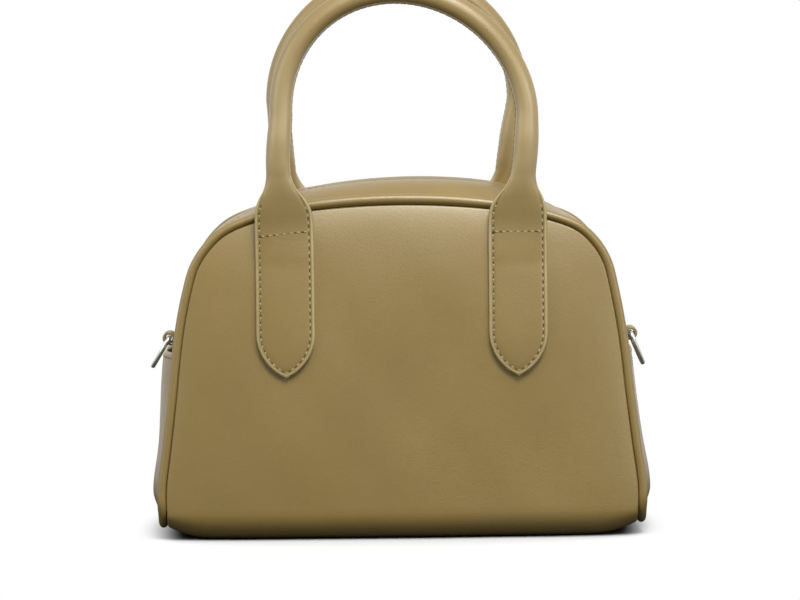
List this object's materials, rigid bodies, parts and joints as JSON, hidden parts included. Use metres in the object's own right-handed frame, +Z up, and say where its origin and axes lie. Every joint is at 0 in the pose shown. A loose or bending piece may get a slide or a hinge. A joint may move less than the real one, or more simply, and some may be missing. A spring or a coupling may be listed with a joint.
{
  "type": "top handle bag",
  "caption": "Dome-shaped top-handle bag in smooth khaki leather-like sheet, with rolled handles on pointed tabs, piped panels, a zip over the crown and side rings for a strap.",
  "frame": {"origin": "middle of the base, on the surface that the bag stands on", "axes": "+Z up, -Y towards the front with the zip puller hidden behind it, +X along the bag's width to the right seen from the front"},
  "size_m": [0.2468, 0.1128, 0.2728],
  "materials": {
    "khaki_skin": "smooth, soft sheen",
    "khaki_trim": "smooth, stitched, painted edges",
    "lining_cloth": "plain woven",
    "zip_tape": "herringbone tape",
    "nickel": "polished",
    "board": "plain"
  },
  "bodies": {
    "body": {"base_wrap": "khaki_skin", "left_gusset": "khaki_skin", "right_gusset": "khaki_skin", "left_ring_loop": "khaki_trim", "right_ring_loop": "khaki_trim", "left_base_piping": "khaki_trim", "right_base_piping": "khaki_trim", "base_board": "board", "base_lining": "lining_cloth", "left_lining": "lining_cloth", "right_lining": "lining_cloth"},
    "front_half": {"front_panel": "khaki_skin", "front_lining": "lining_cloth", "front_piping": "khaki_trim", "front_top_strip": "khaki_skin", "front_zip_tape": "zip_tape", "front_left_tab": "khaki_trim", "front_right_tab": "khaki_trim"},
    "back_half": {"back_panel": "khaki_skin", "back_lining": "lining_cloth", "back_piping": "khaki_trim", "back_top_strip": "khaki_skin", "back_zip_tape": "zip_tape", "back_left_tab": "khaki_trim", "back_right_tab": "khaki_trim"},
    "front_handle": {"front_handle": "khaki_trim"},
    "back_handle": {"back_handle": "khaki_trim"},
    "left_ring": {"left_ring": "nickel"},
    "right_ring": {"right_ring": "nickel"},
    "zip_slider": {"zip_slider": "nickel"},
    "zip_puller": {"zip_puller": "nickel"}
  },
  "joints": [
    {"name": "front_bend", "type": "hinge", "parent": "body", "child": "front_half", "pos_m": [0, -0.05376, 0.072], "axis": [1, 0, 0], "range_deg": [0, 15]},
    {"name": "back_bend", "type": "hinge", "parent": "body", "child": "back_half", "pos_m": [0, 0.05376, 0.072], "axis": [1, 0, 0], "range_deg": [-15, 0]},
    {"name": "front_fold", "type": "hinge", "parent": "front_half", "child": "front_handle", "pos_m": [0, -0.04693, 0.166], "axis": [1, 0, 0], "range_deg": [-20, 95]},
    {"name": "back_fold", "type": "hinge", "parent": "back_half", "child": "back_handle", "pos_m": [0, 0.04693, 0.166], "axis": [-1, 0, 0], "range_deg": [-20, 95]},
    {"name": "left_ring_swing", "type": "hinge", "parent": "body", "child": "left_ring", "pos_m": [-0.11467, 0, 0.0955], "axis": [0, 1, 0], "range_deg": [-10, 140]},
    {"name": "right_ring_swing", "type": "hinge", "parent": "body", "child": "right_ring", "pos_m": [0.11467, 0, 0.0955], "axis": [0, -1, 0], "range_deg": [-10, 140]},
    {"name": "zip_slide", "type": "hinge", "parent": "front_half", "child": "zip_slider", "pos_m": [0, 0, -0.2224], "axis": [0, 1, 0], "range_deg": [-12.9, 0]},
    {"name": "puller_swing", "type": "hinge", "parent": "zip_slider", "child": "zip_puller", "pos_m": [0.04434, 0, 0.169], "axis": [0, -1, 0], "range_deg": [0, 170]}
  ],
  "couplings": [
    {"joint": "back_bend", "follows": "front_bend", "ratio": -1}
  ]
}
